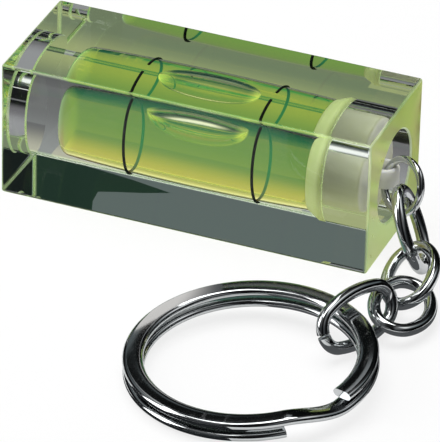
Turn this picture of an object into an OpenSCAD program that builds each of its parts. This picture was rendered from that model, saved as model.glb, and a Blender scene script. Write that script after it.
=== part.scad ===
// Keychain spirit level: a clear block with a barrel-shaped fluid vial bored along it, two level
// rings, an air bubble, an end plug with an eyelet, and a short chain that ends in a split key ring.
// Millimetres. The origin is the centre of the block's base; +X runs along the vial towards the
// plugged end, +Y to the back and +Z up. The chain and the key ring lie beside the block.

/* [Block] */
// Length of the block along the vial
block_length = 40; // [36:1:50]
// Depth of the block from front to back
block_depth = 15; // [13:0.5:20]
// Height of the block
block_height = 15; // [13:0.5:18]
// Radius on the outer edges
edge_radius = 0.3; // [0.1:0.05:0.8]
// Radius of the round recess in the blind end
recess_radius = 4.8; // [3:0.1:5.5]
// Depth of the recess in the blind end
recess_depth = 2.1; // [1:0.1:3]
// Web left between the recess and the vial
blind_web = 3.1; // [2:0.1:5]

/* [Vial] */
// Radius of the vial at its crown
vial_radius = 4.4; // [3.8:0.1:4.7]
// Radius of the long curve that makes the vial a barrel
barrel_radius = 220; // [150:10:400]
// Radius of the corner at the blind end of the vial
vial_corner = 1; // [0.4:0.1:1.5]
// Place of the level point along the block, from its middle
level_offset = -0.25; // [-1:0.05:1]
// Distance between the two level rings
ring_spacing = 14; // [12.5:0.25:16]
// Wire of the level rings
ring_wire = 0.32; // [0.28:0.02:0.5]
// Opening of each level ring in degrees
ring_opening = 20; // [10:1:40]
// How far the level rings stand proud of the vial's wall
ring_proud = 0.06; // [0.02:0.02:0.12]

/* [Bubble] */
// Length of the air bubble
bubble_length = 11; // [8:0.5:12]
// Width of the air bubble
bubble_width = 5.4; // [4:0.1:6]
// Depth of the air bubble from crown to underside
bubble_depth = 3.3; // [2.4:0.1:3.8]
// Film of fluid above the bubble
bubble_film = 0.3; // [0.2:0.05:0.6]
// Radius of the long curve of the bubble's crown
bubble_crown = 25; // [18:1:60]

/* [End plug] */
// Radius of the socket that takes the plug
socket_radius = 4.85; // [4.7:0.05:5.6]
// Depth of the socket from the end face to the vial
socket_depth = 7.6; // [6.5:0.1:9]
// Length of the cone that the plug's nose seats on
seat_length = 1.2; // [0.6:0.1:1.8]
// Length of the plug's sealing land
land_length = 0.65; // [0.4:0.05:1.2]
// Air gap round the plug's body behind the land
plug_relief = 0.25; // [0.15:0.05:0.5]
// Depth of the plug's outer face below the end face
plug_inset = 1.8; // [1:0.1:2.2]
// Distance of the eye's axis from the plug's outer face
eye_reach = 0.8; // [0.6:0.05:1.2]
// Radius of the eyelet lug
lug_radius = 1.45; // [1.2:0.05:1.8]
// Height of the eyelet lug along its eye
lug_height = 2.2; // [1.6:0.1:2.6]
// Radius of the eye at its throat
eye_radius = 0.68; // [0.62:0.02:0.8]
// Widening of the eye at both mouths
eye_flare = 0.32; // [0.26:0.02:0.4]
// Height of the eye's narrow throat
eye_throat = 0.7; // [0.4:0.05:0.9]
// Bevel on the lug and on the plug's outer edge
lug_bevel = 0.3; // [0.1:0.05:0.4]

/* [Chain] */
// Wire of the jump ring
jump_wire = 0.8; // [0.6:0.05:0.9]
// Outside diameter of the jump ring
jump_diameter = 6.2; // [5.8:0.1:7]
// Wire of the chain links
link_wire = 1.3; // [1:0.05:1.4]
// Outside length of a chain link
link_length = 9.4; // [8.8:0.1:10.2]
// Outside width of a chain link
link_width = 6.8; // [6.4:0.1:7.4]
// Bend radius at the ends of a chain link, on the wire's middle line
link_bend = 2.2; // [1.9:0.05:2.4]
// Outside length of the open connecting link
connector_length = 11.2; // [10.6:0.1:12]
// Outside width of the open connecting link
connector_width = 6.2; // [5.9:0.1:6.8]
// Bend radius at the ends of the connecting link, on the wire's middle line
connector_bend = 2; // [1.7:0.05:2.15]
// Slit where the connecting link's ends meet
connector_slit = 0.3; // [0.15:0.05:0.6]

/* [Key ring] */
// Outside diameter of the split ring
key_diameter = 25; // [20:0.5:32]
// Width of the split ring's flat wire
key_band = 2.1; // [1.6:0.1:2.4]
// Thickness of the split ring's flat wire
key_wire = 0.9; // [0.7:0.05:1.1]
// Gap between the split ring's two turns
key_gap = 0.42; // [0.42:0.02:0.7]

/* [Hidden] */
$fn = 96;

// Clearances
press_fit = 0.02;      // plug land in its socket, level rings in their grooves
fluid_fit = 0.02;      // fluid to the wall of the vial
bubble_room = 0.15;    // bubble to the channel that it runs in
bubble_stop = 0.9;     // bubble to the ends of the vial
seat_room = 0.15;      // wire to wire where one link hangs in the next
ring_room = 0.3;       // split ring to the wire that it lies on
ground_room = 0.04;    // lowest link to the ground
cut = 1;               // overlap of cutting bodies

// Places along the block
end_x = block_length / 2;
axis_z = block_height / 2;
level_x = level_offset;
vial_start = -end_x + recess_depth + blind_web;
vial_end = end_x - socket_depth;
plug_face = end_x - plug_inset;
land_end = vial_end + seat_length + land_length;
ring_xs = [level_x - ring_spacing / 2, level_x + ring_spacing / 2];

// Radius of the barrel-shaped vial at a place along the block
function vial_r(x) = vial_radius - barrel_radius + sqrt(pow(barrel_radius, 2) - pow(x - level_x, 2));

// Outline of the vial from its blind end to its open end, drawn in by a clearance
barrel_steps = 10;
corner_steps = 4;
function vial_outline(gap) =
    let (x0 = vial_start + gap,
         c = vial_corner,
         x1 = x0 + c,
         r1 = vial_r(x1) - gap)
    concat([[0, x0]],
           [for (i = [0:corner_steps])
               let (a = 90 * i / corner_steps)
               [r1 - c + c * sin(a), x1 - c * cos(a)]],
           [for (i = [1:barrel_steps])
               let (x = x1 + (vial_end - x1) * i / barrel_steps)
               [vial_r(x) - gap, x]]);

// Centreline radius of a level ring, set in its groove
function level_r(x) = vial_r(x) + ring_wire / 2 - ring_proud;

// Bubble: its crown's radius about the vial's axis, the belly's axis below that crown, the long curve
// of the belly, the travel to both ends and the channel that it runs in
crown_r = vial_radius - bubble_film;
belly_r = bubble_width / 2;
belly_z = axis_z + crown_r - bubble_depth + belly_r;
belly_curve = (pow(bubble_length / 2, 2) + pow(belly_r, 2)) / (2 * belly_r);
bubble_half = bubble_length / 2 - belly_r;
travel_left = level_x - bubble_length / 2 - vial_start - bubble_stop;
travel_right = vial_end - level_x - bubble_length / 2 - bubble_stop;
channel_r = (pow(belly_r, 2) / (bubble_depth / 2) + belly_r) / 2;
channel_z = axis_z + crown_r - bubble_depth - bubble_room + channel_r;
channel_x = [level_x - travel_left - bubble_half, level_x + travel_right + bubble_half];

// Turning matrices, and a turn by yaw, pitch and roll
function turn_x(a) = [[1, 0, 0], [0, cos(a), -sin(a)], [0, sin(a), cos(a)]];
function turn_y(a) = [[cos(a), 0, sin(a)], [0, 1, 0], [-sin(a), 0, cos(a)]];
function turn_z(a) = [[cos(a), -sin(a), 0], [sin(a), cos(a), 0], [0, 0, 1]];
function turn(lie) = turn_z(lie[0]) * turn_y(lie[1]) * turn_x(lie[2]);
function unit(v) = v / norm(v);
function place(m, at) = [[m[0][0], m[0][1], m[0][2], at[0]],
                         [m[1][0], m[1][1], m[1][2], at[1]],
                         [m[2][0], m[2][1], m[2][2], at[2]],
                         [0, 0, 0, 1]];

// Centreline of an oval link: two end bends and two long side curves that run into each other. It is
// held as half length, half width, end bend, end centre, distance from an end centre to a side centre
// (in whole microns) and the slant of the line through both, on which the curves meet
function oval(half, width, bend) =
    let (c = half - bend,
         t = width - bend,
         d = (c * c - t * t) / (2 * t),
         across = round(norm([c, d]) * 1000) / 1000)
    [half, width, bend, c, across, acos(c / across)];
function side_r(o) = o[2] + o[4];
function side_drop(o) = o[4] * sin(o[5]);
function on_bend(o, x) = abs(x) > o[3] + o[2] * cos(o[5]);

// A place on the oval is a share of its half length (-1 to 1) and a side (-1 or 1)
function oval_out(o, share, side) =
    let (x = share * o[0],
         e = sign(x) * (abs(x) - o[3]))
    on_bend(o, x) ? [e, side * sqrt(max(0, pow(o[2], 2) - e * e)), 0]
                  : [x, side * sqrt(pow(side_r(o), 2) - x * x), 0];
function oval_at(o, share, side) =
    let (x = share * o[0],
         n = oval_out(o, share, side))
    [x, on_bend(o, x) ? n[1] : n[1] - side * side_drop(o), 0];
function oval_dir(o, share, side) =
    let (n = oval_out(o, share, side))
    unit([-n[1], n[0], 0]);

// How far the oval reaches along a direction in its plane
function oval_reach(o, u, v) =
    atan2(abs(v), abs(u)) < o[5] ? o[3] * abs(u) + o[2] * norm([u, v])
                                 : side_r(o) * norm([u, v]) - side_drop(o) * abs(v);

// Seat of one wire on another: the next piece's wire crosses the last one's at a clearance
function seated(p, t, m, own, own_t, away, gap) =
    p + unit(cross(t, m * own_t)) * away * gap - m * own;

// Sizes of the links on their centrelines
jump_r = (jump_diameter - jump_wire) / 2;
link = oval((link_length - link_wire) / 2, (link_width - link_wire) / 2, link_bend);
connector = oval((connector_length - link_wire) / 2, (connector_width - link_wire) / 2, connector_bend);

// The eye's axis is upright, and the jump ring hangs from its outer side
eye_x = plug_face + eye_reach;
eye_at = [eye_x, 0, axis_z];
eye_play = eye_radius - jump_wire / 2 - seat_room;
jump_lie = [-32, 0, -108];
jump_turn = turn(jump_lie);
jump_at = eye_at + jump_turn * [jump_r + eye_play, 0, 0];

// Lie of each link as yaw, pitch and roll; the first link's pitch is its lean, which lets the
// connecting link down to the ground
jump_seat = 55;
function turn_1(lean) = turn([-37, lean, -43]);
turn_2 = turn([109, -9, -31]);
turn_3 = turn([-90, 1, -16]);
turn_4 = turn([69, 0, 66]);

// Seats as a share of the half length and a side: on the wire before, and on the link's own wire
seat_1_own = [-0.52, 1];
seat_2_on = [0.61, -1];
seat_2_own = [0.97, -1];
seat_3_on = [-0.5, 1];
seat_3_own = [-0.58, -1];
seat_4_on = [0.11, -1];
seat_4_own = [0.985, 1];
seat_5_on = [-0.26, -1];

// Middle of a link hung on a wire point p with direction t; away is the side that it hangs on
function link_hung(p, t, m, own, away, gap, o) =
    seated(p, t, m, oval_at(o, own[0], own[1]), oval_dir(o, own[0], own[1]), away, gap);
function on_link(at, m, on) = at + m * oval_at(link, on[0], on[1]);
function way_link(m, on) = m * oval_dir(link, on[0], on[1]);

seat_1 = jump_at + jump_turn * [jump_r * cos(jump_seat), jump_r * sin(jump_seat), 0];
way_1 = jump_turn * [-sin(jump_seat), cos(jump_seat), 0];
jump_gap = (jump_wire + link_wire) / 2 + seat_room;
link_gap = link_wire + seat_room;
function at_1(lean) = link_hung(seat_1, way_1, turn_1(lean), seat_1_own, 1, jump_gap, link);
function at_2(lean) =
    link_hung(on_link(at_1(lean), turn_1(lean), seat_2_on), way_link(turn_1(lean), seat_2_on),
              turn_2, seat_2_own, 1, link_gap, link);
function at_3(lean) =
    link_hung(on_link(at_2(lean), turn_2, seat_3_on), way_link(turn_2, seat_3_on),
              turn_3, seat_3_own, -1, link_gap, link);
function at_4(lean) =
    link_hung(on_link(at_3(lean), turn_3, seat_4_on), way_link(turn_3, seat_4_on),
              turn_4, seat_4_own, -1, link_gap, connector);
connector_rest = oval_reach(connector, turn_4[2][0], turn_4[2][1]) + link_wire / 2 + ground_room;
function rise(lean) = at_4(lean)[2] - connector_rest;
function settle(lean, steps) =
    steps == 0 ? lean : settle(lean - rise(lean) * 2 / (rise(lean + 1) - rise(lean - 1)), steps - 1);
lean = settle(60, 4);

// The split ring lies with one side on the connecting link's lower leg and the other on the ground
key_r = key_diameter / 2;
key_mid = key_r - key_band / 2;
key_pitch = key_wire + key_gap;
key_height = 2 * key_wire + key_gap;
key_bearing = 48;
leg_at = at_4(lean) + turn_4 * oval_at(connector, seat_5_on[0], seat_5_on[1]);
leg_top = leg_at[2] + link_wire / 2 + ring_room;
key_foot = key_r - key_wire / 2;
key_tilt = asin(leg_top / (key_foot + key_mid));
key_turn = turn_z(key_bearing) * turn_y(-key_tilt) * turn_z(-key_bearing);
key_off = key_mid * cos(key_tilt) + key_height / 2 * sin(key_tilt);
key_at = [leg_at[0] - key_off * cos(key_bearing),
          leg_at[1] - key_off * sin(key_bearing),
          key_height / 2 * cos(key_tilt) + key_foot * sin(key_tilt)];

// Wire of the split ring: nearly two turns, stepping from the upper turn to the lower one between
// the two ends of the wire
key_upper_end = -18.5;
key_lower_end = -52.5;
key_step = key_upper_end - key_lower_end;
key_sweep = 720 - key_step;
key_rings = 120;
key_sides = 14;
function ease(u) = u * u * (3 - 2 * u);
function key_level(a) =
    let (u = (a - (360 - key_step)) / key_step)
    key_pitch * (0.5 - ease(min(1, max(0, u))));
function key_point(a) =
    [key_mid * cos(key_upper_end + a), key_mid * sin(key_upper_end + a), key_level(a)];
key_path = [for (i = [0:key_rings]) key_point(key_sweep * i / key_rings)];
half_turn = ceil(key_rings * 180 / key_sweep);
key_least_gap = min([for (i = [0:key_rings - half_turn])
                        for (j = [i + half_turn:key_rings]) norm(key_path[i] - key_path[j])]) - key_wire;
echo(split_ring_least_gap_to_itself = key_least_gap);

// Section of the flat wire with round edges, out from and up from its middle; the ends of the wire
// are drawn in a little
key_flat = (key_band - key_wire) / 2;
function key_section(k) =
    let (a = 360 * (k + 0.5) / key_sides)
    [sign(cos(a)) * key_flat + key_wire / 2 * cos(a), key_wire / 2 * sin(a)];
function key_scale(i) = i == 0 || i == key_rings ? 0.72 : 1;
function key_corner(i, k) =
    let (p = key_path[i],
         c = key_section(k) * key_scale(i),
         o = [p[0], p[1], 0] / key_mid)
    p + o * c[0] + [0, 0, c[1]];

module along_x(x) {
    translate([x, 0, axis_z]) rotate([0, 90, 0]) children();
}

module rounded_bar(l, a, b, r) {
    cube([l, a - 2 * r, b], center = true);
    cube([l, a, b - 2 * r], center = true);
    for (y = [-1, 1], z = [-1, 1])
        translate([0, y * (a / 2 - r), z * (b / 2 - r)])
            rotate([0, 90, 0])
                cylinder(h = l, r = r, center = true);
}

module wire_arc(r, wire, angle) {
    rotate_extrude(angle = angle)
        translate([r, 0])
            circle(d = wire);
}

// A quarter of an oval link: both curves start on the slant where they meet and run past the quarter
module oval_quarter(o, wire) {
    spare = 5;
    intersection() {
        translate([0, 0, -wire])
            cube([o[0] + wire, o[1] + wire, 2 * wire]);
        translate([o[3], 0, 0])
            rotate([0, 0, o[5]]) {
                mirror([0, 1, 0])
                    wire_arc(o[2], wire, o[5] + spare);
                translate([-o[4], 0, 0])
                    wire_arc(side_r(o), wire, 90 - o[5] + spare);
            }
    }
}

module oval_link(o, wire) {
    for (x = [0, 1], y = [0, 1])
        mirror([x, 0, 0])
            mirror([0, y, 0])
                oval_quarter(o, wire);
}

module level_groove(x) {
    along_x(x)
        rotate_extrude()
            translate([level_r(x), 0])
                circle(d = ring_wire + 2 * press_fit);
}

// Clear block with the vial, the plug's socket, the ring grooves and the recess
module block() {
    color([0.86, 0.92, 0.84, 0.4])
        difference() {
            translate([0, 0, axis_z])
                intersection() {
                    rounded_bar(block_length, block_depth, block_height, edge_radius);
                    rotate([0, 0, 90])
                        rounded_bar(block_depth, block_length, block_height, edge_radius);
                    rotate([0, 90, 0])
                        rounded_bar(block_height, block_depth, block_length, edge_radius);
                }
            along_x(0)
                rotate_extrude()
                    polygon(concat(vial_outline(0),
                                   [[socket_radius, vial_end + seat_length],
                                    [socket_radius, end_x + cut],
                                    [0, end_x + cut]]));
            along_x(-end_x - cut)
                cylinder(h = recess_depth + cut, r = recess_radius);
            for (x = ring_xs)
                level_groove(x);
        }
}

// Fluid with the channel in which the bubble travels
module vial_fluid() {
    color([0.66, 0.75, 0.22, 0.7])
        difference() {
            along_x(0)
                rotate_extrude()
                    polygon(concat(vial_outline(fluid_fit), [[0, vial_end]]));
            for (x = ring_xs)
                level_groove(x);
            translate([channel_x[0], 0, channel_z])
                rotate([0, 90, 0])
                    cylinder(h = channel_x[1] - channel_x[0], r = channel_r);
            for (x = channel_x)
                translate([x, 0, channel_z])
                    sphere(r = channel_r);
        }
}

// Body turned about the vial's direction, r at its middle, with one long curve for its sides
module spindle(r, curve) {
    rotate([0, 90, 0])
        rotate_extrude()
            intersection() {
                translate([r - curve, 0])
                    circle(r = curve);
                translate([0, -curve])
                    square([curve, 2 * curve]);
            }
}

// Air bubble at the level point: a round belly under a crown that follows the top of the vial
module bubble() {
    color([0.95, 0.98, 1, 0.5])
        intersection() {
            translate([level_x, 0, belly_z])
                spindle(belly_r, belly_curve);
            translate([level_x, 0, axis_z])
                spindle(crown_r, bubble_crown);
        }
}

// Level rings, snapped into their grooves with the opening at the top
module level_ring(x) {
    color([0.04, 0.06, 0.05])
        along_x(x)
            rotate([0, 0, 180 + ring_opening / 2])
                wire_arc(level_r(x), ring_wire, 360 - ring_opening);
}

module level_ring_left() {
    level_ring(ring_xs[0]);
}

module level_ring_right() {
    level_ring(ring_xs[1]);
}

// Plug with its nose cone, sealing land, relieved body and eyelet lug
module end_plug() {
    nose_r = vial_r(vial_end) - press_fit;
    land_r = socket_radius - press_fit;
    body_r = socket_radius - plug_relief;
    half = lug_height / 2;
    web = lug_radius - lug_bevel;
    mouth = eye_radius + eye_flare;
    color([0.86, 0.87, 0.78]) {
        along_x(0)
            rotate_extrude()
                polygon([[0, vial_end + press_fit],
                         [nose_r, vial_end + press_fit],
                         [land_r, vial_end + seat_length + press_fit],
                         [land_r, land_end],
                         [body_r, land_end],
                         [body_r, plug_face - lug_bevel],
                         [body_r - lug_bevel, plug_face],
                         [0, plug_face]]);
        difference() {
            union() {
                translate(eye_at)
                    rotate_extrude()
                        polygon([[0, -half],
                                 [lug_radius - lug_bevel, -half],
                                 [lug_radius, -half + lug_bevel],
                                 [lug_radius, half - lug_bevel],
                                 [lug_radius - lug_bevel, half],
                                 [0, half]]);
                translate([plug_face - cut, -web, axis_z - half + lug_bevel])
                    cube([eye_x - plug_face + cut, 2 * web, lug_height - 2 * lug_bevel]);
            }
            translate(eye_at)
                rotate_extrude()
                    polygon([[0, -half - cut],
                             [mouth, -half - cut],
                             [mouth, -half],
                             [eye_radius, -eye_throat / 2],
                             [eye_radius, eye_throat / 2],
                             [mouth, half],
                             [mouth, half + cut],
                             [0, half + cut]]);
        }
    }
}

// Jump ring through the plug's eye
module jump_ring() {
    color([0.72, 0.74, 0.75])
        multmatrix(place(jump_turn, jump_at))
            rotate_extrude()
                translate([jump_r, 0])
                    circle(d = jump_wire);
}

// Three plain oval links
module chain_link_1() {
    color([0.66, 0.68, 0.69])
        multmatrix(place(turn_1(lean), at_1(lean)))
            oval_link(link, link_wire);
}

module chain_link_2() {
    color([0.6, 0.62, 0.64])
        multmatrix(place(turn_2, at_2(lean)))
            oval_link(link, link_wire);
}

module chain_link_3() {
    color([0.66, 0.68, 0.69])
        multmatrix(place(turn_3, at_3(lean)))
            oval_link(link, link_wire);
}

// Longer open link whose ends meet in a slit, which carries the split ring
module connecting_link() {
    color([0.7, 0.72, 0.73])
        multmatrix(place(turn_4, at_4(lean)))
            difference() {
                oval_link(connector, link_wire);
                translate([-connector[0], 0, 0])
                    cube([2 * link_wire, connector_slit, 2 * link_wire], center = true);
            }
}

// Split ring of flat wire with round edges
module split_ring() {
    m = key_sides;
    n = key_rings;
    color([0.62, 0.64, 0.66])
        multmatrix(place(key_turn, key_at))
            polyhedron(
                points = [for (i = [0:n], k = [0:m - 1]) key_corner(i, k)],
                faces = concat(
                    [[for (k = [m - 1:-1:0]) k]],
                    [[for (k = [0:m - 1]) n * m + k]],
                    [for (i = [0:n - 1], k = [0:m - 1])
                        [i * m + k, (i + 1) * m + (k + 1) % m, (i + 1) * m + k]],
                    [for (i = [0:n - 1], k = [0:m - 1])
                        [i * m + k, i * m + (k + 1) % m, (i + 1) * m + (k + 1) % m]]),
                convexity = 8);
}

block();
vial_fluid();
bubble();
level_ring_left();
level_ring_right();
end_plug();
jump_ring();
chain_link_1();
chain_link_2();
chain_link_3();
connecting_link();
split_ring();
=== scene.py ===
"""Looks of a keychain spirit level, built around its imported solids."""

import logging
import math
from dataclasses import dataclass
from enum import Enum
from typing import Any, Dict, List, Optional, Sequence, Tuple, Union

import bmesh
import bpy
from mathutils import Matrix, Vector


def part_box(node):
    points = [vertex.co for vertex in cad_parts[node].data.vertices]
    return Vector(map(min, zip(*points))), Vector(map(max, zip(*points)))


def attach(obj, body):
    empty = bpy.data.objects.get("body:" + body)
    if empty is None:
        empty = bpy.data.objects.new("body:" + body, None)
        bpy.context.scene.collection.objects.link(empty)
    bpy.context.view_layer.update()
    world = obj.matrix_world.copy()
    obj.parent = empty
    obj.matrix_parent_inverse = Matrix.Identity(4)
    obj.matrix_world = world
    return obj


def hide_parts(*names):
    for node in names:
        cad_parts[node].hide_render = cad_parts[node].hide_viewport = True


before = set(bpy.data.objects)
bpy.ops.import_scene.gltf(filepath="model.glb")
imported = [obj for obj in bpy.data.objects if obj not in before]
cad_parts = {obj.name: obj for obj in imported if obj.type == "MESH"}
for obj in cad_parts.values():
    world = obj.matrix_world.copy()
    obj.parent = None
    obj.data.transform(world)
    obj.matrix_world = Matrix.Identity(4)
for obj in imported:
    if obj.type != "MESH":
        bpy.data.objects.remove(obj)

LOG = logging.getLogger("spirit_level")
MM = 0.001
SMOOTH_ANGLE = math.radians(32)
ON_AXIS = 1e-9
LEVEL_X = -0.25 * MM
VIAL_START = -14.8 * MM
SOCKET_START = 14.25 * MM
ACRYLIC_INDEX = 1.49
FLUID_INDEX = 1.44
Pair = Tuple[float, float]
Triple = Tuple[float, float, float]
Colour = Triple
Stops = Sequence[Tuple[float, Colour]]
UNLIT: Colour = (0.0, 0.0, 0.0)


class Body(Enum):
    """The rigid bodies that pieces ride on."""

    LEVEL = "level"
    BUBBLE = "bubble"
    JUMP_RING = "jump_ring"
    LINK_1 = "chain_link_1"
    LINK_2 = "chain_link_2"
    LINK_3 = "chain_link_3"
    CONNECTOR = "connecting_link"
    KEY_RING = "split_ring"


class Slot(Enum):
    """The record's material slots."""

    ACRYLIC = "clear_acrylic"
    FLUID = "level_fluid"
    AIR = "air"
    MARK = "mark_black"
    PLUG = "plug_plastic"
    PLATE = "plated_steel"


class WireForm(Enum):
    """The wire's section."""

    ROUND = "round_wire"
    FLAT = "flat_wire"


class Sock:
    """A node socket that takes part in Python arithmetic."""

    def __init__(self, kit: "NodeKit", socket: bpy.types.NodeSocket) -> None:
        self.kit = kit
        self.socket = socket

    def _math(self, operation: str, left: Any, right: Any) -> "Sock":
        """One Math node on two operands."""
        return self.kit.node("ShaderNodeMath", {"operation": operation}, {0: left, 1: right})

    def __add__(self, other: Any) -> "Sock":
        """Sum."""
        return self._math("ADD", self, other)

    def __radd__(self, other: Any) -> "Sock":
        """Sum with the operands swapped."""
        return self._math("ADD", other, self)

    def __sub__(self, other: Any) -> "Sock":
        """Difference."""
        return self._math("SUBTRACT", self, other)

    def __rsub__(self, other: Any) -> "Sock":
        """Difference with the operands swapped."""
        return self._math("SUBTRACT", other, self)

    def __mul__(self, other: Any) -> "Sock":
        """Product."""
        return self._math("MULTIPLY", self, other)

    def __rmul__(self, other: Any) -> "Sock":
        """Product with the operands swapped."""
        return self._math("MULTIPLY", other, self)

    def __truediv__(self, other: Any) -> "Sock":
        """Quotient."""
        return self._math("DIVIDE", self, other)

    def __rtruediv__(self, other: Any) -> "Sock":
        """Quotient with the operands swapped."""
        return self._math("DIVIDE", other, self)

    def larger(self, other: Any) -> "Sock":
        """The larger of this and another value."""
        return self._math("MAXIMUM", self, other)

    def about_one(self, share: float) -> "Sock":
        """A noise value as a factor that varies by a share about 1."""
        return (1 - share / 2) + share * self

    def rise(self, low: float, high: float) -> "Sock":
        """A smooth step from 0 to 1.

        Args:
            low: Input at which the step starts.
            high: Input at which the step ends, above or below its start.

        Returns:
            The stepped value.
        """
        return self.kit.node(
            "ShaderNodeMapRange",
            {"interpolation_type": "SMOOTHSTEP"},
            {"Value": self, "From Min": low, "From Max": high},
        )


class NodeKit:
    """Adds nodes to one tree."""

    def __init__(self, tree: bpy.types.NodeTree) -> None:
        """Start from an empty tree."""
        self.tree = tree
        tree.nodes.clear()

    def node(
        self,
        kind: str,
        settings: Optional[Dict[str, Any]] = None,
        sockets: Optional[Dict[Any, Any]] = None,
        out: Union[int, str] = 0,
    ) -> Sock:
        """Add a node.

        Args:
            kind: The node's type.
            settings: Its settings, set before its sockets. "stops" holds a ramp's stops.
            sockets: Values or links of its input sockets, by name or number.
            out: The output to return.

        Returns:
            The chosen output, or the first input of a node that has no outputs.
        """
        made = self.tree.nodes.new(kind)
        for name, value in (settings or {}).items():
            if name == "stops":
                self._stops(made.color_ramp, value)
            else:
                setattr(made, name, value)
        for key, value in (sockets or {}).items():
            self._feed(made.inputs[key], value)
        return Sock(self, made.outputs[out] if len(made.outputs) else made.inputs[0])

    def _feed(self, socket: bpy.types.NodeSocket, value: Any) -> None:
        """Link a socket or set its value.

        Args:
            socket: The input socket.
            value: A Sock to link, or a plain value to set.
        """
        if isinstance(value, Sock):
            self.tree.links.new(value.socket, socket)
        elif socket.type == "RGBA":
            socket.default_value = (*value, 1.0)
        else:
            socket.default_value = value

    @staticmethod
    def _stops(ramp: bpy.types.ColorRamp, stops: Stops) -> None:
        """Set a ramp's stops.

        Args:
            ramp: The ramp.
            stops: Place and colour of each stop, in order.
        """
        while len(ramp.elements) < len(stops):
            ramp.elements.new(1.0)
        for element, (place, colour) in zip(ramp.elements, stops):
            element.position = place
            element.color = (*colour, 1.0)

    def noise(self, scale: float, detail: float = 2.0, stretch: Optional[Triple] = None) -> Sock:
        """Noise on Object coordinates.

        Args:
            scale: Features per metre.
            detail: Octaves.
            stretch: Scale of each axis, for streaks.

        Returns:
            The noise value, around 0.5.
        """
        place = self.node("ShaderNodeTexCoord", out="Object")
        if stretch is not None:
            place = self.node("ShaderNodeMapping", None, {"Vector": place, "Scale": stretch})
        return self.node(
            "ShaderNodeTexNoise", None, {"Vector": place, "Scale": scale, "Detail": detail}
        )

    def part_of(self, vector: Sock, axis: str) -> Sock:
        """One part of a vector, X, Y or Z."""
        return self.node("ShaderNodeSeparateXYZ", None, {0: vector}, axis)

    def axis(self, name: str) -> Sock:
        """One Object coordinate in metres, X, Y or Z."""
        return self.part_of(self.node("ShaderNodeTexCoord", out="Object"), name)

    def blend(self, factor: Sock, low: Union[Colour, Sock], high: Union[Colour, Sock]) -> Sock:
        """A colour between two, by a factor.

        Args:
            factor: 0 for low, 1 for high.
            low: First colour.
            high: Second colour.

        Returns:
            The mixed colour.
        """
        return self.node(
            "ShaderNodeMix", {"data_type": "RGBA"}, {0: factor, 6: low, 7: high}, out=2
        )

    def bump(self, height: Sock, strength: float, distance: float) -> Sock:
        """A bumped normal.

        Args:
            height: Height of the surface.
            strength: Share of the bump that shows.
            distance: Real height of the bump in metres.

        Returns:
            The normal.
        """
        return self.node(
            "ShaderNodeBump", None, {"Strength": strength, "Distance": distance, "Height": height}
        )


def new_material(name: str) -> Tuple[bpy.types.Material, NodeKit]:
    """Args:
        name: The material's name.

    Returns:
        The material and its kit.
    """
    made = bpy.data.materials.new(name)
    made.use_nodes = True
    return made, NodeKit(made.node_tree)


class Finish:
    """A finish that makes its material once."""

    name: str = "finish"

    def material(self) -> bpy.types.Material:
        """The finish's material, made on first use.

        Returns:
            The material.
        """
        found = bpy.data.materials.get(self.name)
        if found is None:
            found, kit = new_material(self.name)
            self.shade(kit)
        return found

    def shade(self, kit: NodeKit) -> None:
        """Fill the material's tree through its kit."""
        raise NotImplementedError


@dataclass(frozen=True)
class ClearAcrylic(Finish):
    """Polished clear acrylic, a little hazed on the sawn end face, with painted light on that face and along
    its rounded edges.
    """

    name: str = "polished_acrylic"
    tint: Colour = (0.965, 0.985, 0.955)
    index: float = ACRYLIC_INDEX
    gloss: Colour = (0.35, 0.35, 0.35)
    absorb_tint: Colour = (0.45, 0.8, 0.35)
    absorb_density: float = 9.0
    end_x: float = 19.9 * MM
    end_step: float = 0.1 * MM
    end_tint: Colour = (0.93, 0.97, 0.78)
    # Painted light: an emitted glow on the sawn end face, and another along the rounded edges.
    painted_end_light: Colour = (0.165, 0.13, 0.03)
    edge_mark: str = "edge_break"
    edge_range: Pair = (0.1, 0.9)
    edge_grain: float = 0.2
    painted_edge_light: Colour = (0.15, 0.21, 0.08)
    grain_scale: float = 900.0
    scratch_scale: float = 700.0
    scratch_stretch: Triple = (0.15, 1.0, 1.0)
    scratch_share: float = 0.3
    polish_rough: float = 0.006
    worn_range: Pair = (0.5, 0.8)
    worn_rough: float = 0.014
    sawn_rough: float = 0.22
    sawn_grain: float = 0.16
    edge_rough: float = 0.3
    bump_share: float = 0.02
    bump_height: float = 0.02 * MM

    def shade(self, kit: NodeKit) -> None:
        """Fill the material's tree.

        Args:
            kit: The tree's kit.
        """
        grain = kit.noise(self.grain_scale, detail=4.0)
        scratch = kit.noise(self.scratch_scale, detail=3.0, stretch=self.scratch_stretch)
        haze = kit.axis("X").rise(self.end_x - self.end_step, self.end_x)
        mark = kit.node("ShaderNodeAttribute", {"attribute_name": self.edge_mark}, out="Fac")
        edge = mark.rise(*self.edge_range) * (1 - self.edge_grain + self.edge_grain * grain)
        worn = self.worn_rough * grain.rise(*self.worn_range)
        sawn = haze * (self.sawn_rough + self.sawn_grain * grain)
        # Painted light on the sawn end face; the emission below adds painted light along the rounded edges.
        painted_end_face_light = kit.blend(haze, UNLIT, self.painted_end_light)
        height = scratch * self.scratch_share + grain * haze
        surface = kit.node(
            "ShaderNodeBsdfPrincipled",
            None,
            {
                "Base Color": kit.blend(haze, self.tint, self.end_tint),
                "Roughness": self.polish_rough + worn + sawn + edge * self.edge_rough,
                "IOR": self.index,
                "Transmission Weight": 1.0,
                "Specular Tint": self.gloss,
                "Emission Color": kit.blend(edge, painted_end_face_light, self.painted_edge_light),
                "Emission Strength": 1.0,
                "Normal": kit.bump(height, self.bump_share, self.bump_height),
            },
        )
        depth = kit.node(
            "ShaderNodeVolumeAbsorption",
            None,
            {"Color": self.absorb_tint, "Density": self.absorb_density},
        )
        kit.node("ShaderNodeOutputMaterial", None, {"Surface": surface, "Volume": depth})


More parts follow.
